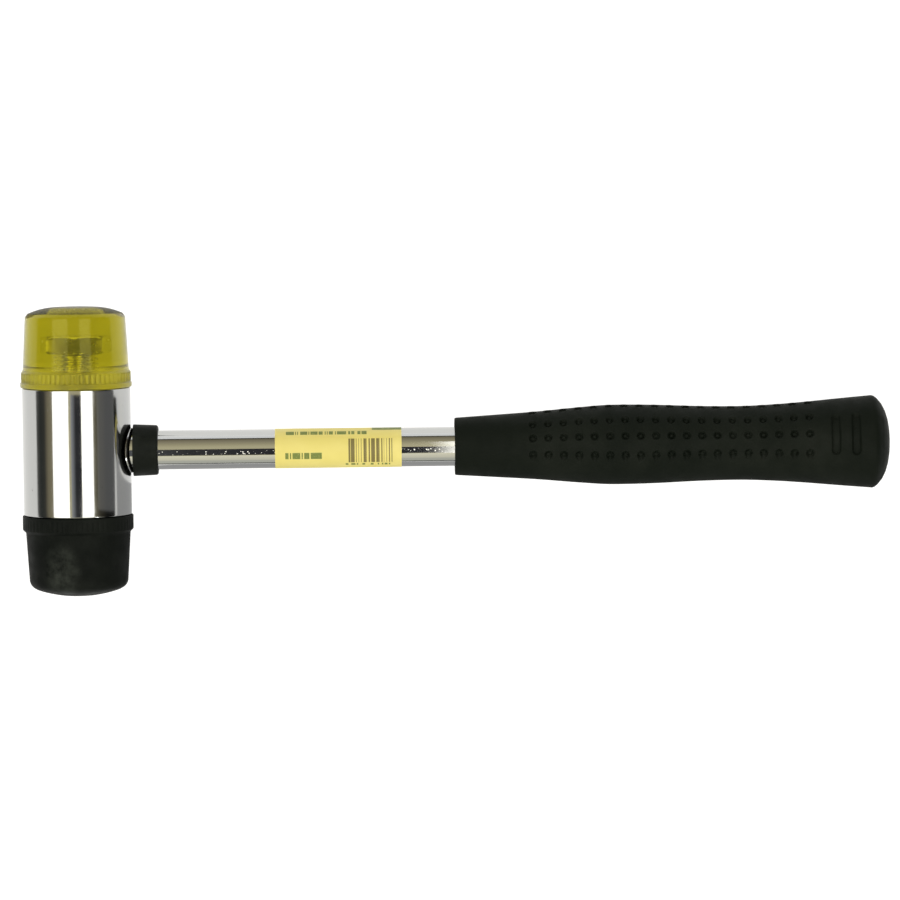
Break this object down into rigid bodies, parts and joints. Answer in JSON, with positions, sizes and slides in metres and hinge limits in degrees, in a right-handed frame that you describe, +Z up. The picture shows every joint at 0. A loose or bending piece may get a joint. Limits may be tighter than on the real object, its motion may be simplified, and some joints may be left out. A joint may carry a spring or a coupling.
{
  "type": "dead blow mallet",
  "caption": "Two-faced soft mallet: shot-filled chromed steel head, one clear yellow plastic and one black rubber screw-on face, tubular steel handle with a dimpled rubber grip.",
  "frame": {"origin": "middle of the footprint, on the surface the mallet lies on", "axes": "+X along the handle from the head to the butt, +Y along the head towards the plastic face, +Z up from the surface"},
  "size_m": [0.2814, 0.0932, 0.036],
  "materials": {
    "head_chrome": "polished",
    "handle_chrome": "polished",
    "weld_chrome": "plated weld bead",
    "plug_steel": "turned",
    "shot_steel": "satin",
    "bolt_steel": "zinc plated",
    "washer_steel": "zinc plated",
    "yellow_plastic": "translucent, moulded",
    "face_rubber": "moulded, matte",
    "collar_plastic": "moulded, satin",
    "label_paper": "printed paper",
    "grip_rubber": "moulded, matte",
    "plug_plastic": "moulded"
  },
  "bodies": {
    "body": {"head_housing": "head_chrome", "plastic_end_plug": "plug_steel", "rubber_end_plug": "plug_steel", "handle_tube": "handle_chrome", "handle_weld": "weld_chrome", "handle_collar": "collar_plastic", "size_label": "label_paper", "grip_sleeve": "grip_rubber", "tube_end_plug": "plug_plastic"},
    "shot_charge": {"shot_ball_01": "shot_steel", "shot_ball_02": "shot_steel", "shot_ball_03": "shot_steel", "shot_ball_04": "shot_steel", "shot_ball_05": "shot_steel", "shot_ball_06": "shot_steel", "shot_ball_07": "shot_steel", "shot_ball_08": "shot_steel", "shot_ball_09": "shot_steel", "shot_ball_10": "shot_steel", "shot_ball_11": "shot_steel", "shot_ball_12": "shot_steel", "shot_ball_13": "shot_steel", "shot_ball_14": "shot_steel", "shot_ball_15": "shot_steel", "shot_ball_16": "shot_steel", "shot_ball_17": "shot_steel", "shot_ball_18": "shot_steel", "shot_ball_19": "shot_steel", "shot_ball_20": "shot_steel", "shot_ball_21": "shot_steel", "shot_ball_22": "shot_steel", "shot_ball_23": "shot_steel", "shot_ball_24": "shot_steel", "shot_ball_25": "shot_steel", "shot_ball_26": "shot_steel", "shot_ball_27": "shot_steel", "shot_ball_28": "shot_steel", "shot_ball_29": "shot_steel", "shot_ball_30": "shot_steel", "shot_ball_31": "shot_steel", "shot_ball_32": "shot_steel", "shot_ball_33": "shot_steel", "shot_ball_34": "shot_steel", "shot_ball_35": "shot_steel", "shot_ball_36": "shot_steel", "shot_ball_37": "shot_steel", "shot_ball_38": "shot_steel"},
    "plastic_washer": {"plastic_face_washer": "washer_steel"},
    "plastic_face": {"plastic_face": "yellow_plastic", "plastic_face_bolt": "bolt_steel"},
    "rubber_washer": {"rubber_face_washer": "washer_steel"},
    "rubber_face": {"rubber_face": "face_rubber", "rubber_face_bolt": "bolt_steel"}
  },
  "joints": [
    {"name": "shot_travel", "type": "slide", "parent": "body", "child": "shot_charge", "axis": [0, 1, 0], "range_m": [-0.0028, 0.0028]},
    {"name": "plastic_face_lift", "type": "slide", "parent": "body", "child": "plastic_washer", "axis": [0, 1, 0], "range_m": [0, 0.0105]},
    {"name": "plastic_face_unscrew", "type": "hinge", "parent": "plastic_washer", "child": "plastic_face", "pos_m": [-0.12268, 0, 0.018], "axis": [0, 1, 0], "range_deg": [0, 2521]},
    {"name": "rubber_face_lift", "type": "slide", "parent": "body", "child": "rubber_washer", "axis": [0, -1, 0], "range_m": [0, 0.0105]},
    {"name": "rubber_face_unscrew", "type": "hinge", "parent": "rubber_washer", "child": "rubber_face", "pos_m": [-0.12268, 0, 0.018], "axis": [0, -1, 0], "range_deg": [0, 2521]}
  ],
  "couplings": [
    {"joint": "plastic_face_unscrew", "follows": "plastic_face_lift", "rad_per_m": 4188.8},
    {"joint": "rubber_face_unscrew", "follows": "rubber_face_lift", "rad_per_m": 4188.8}
  ]
}
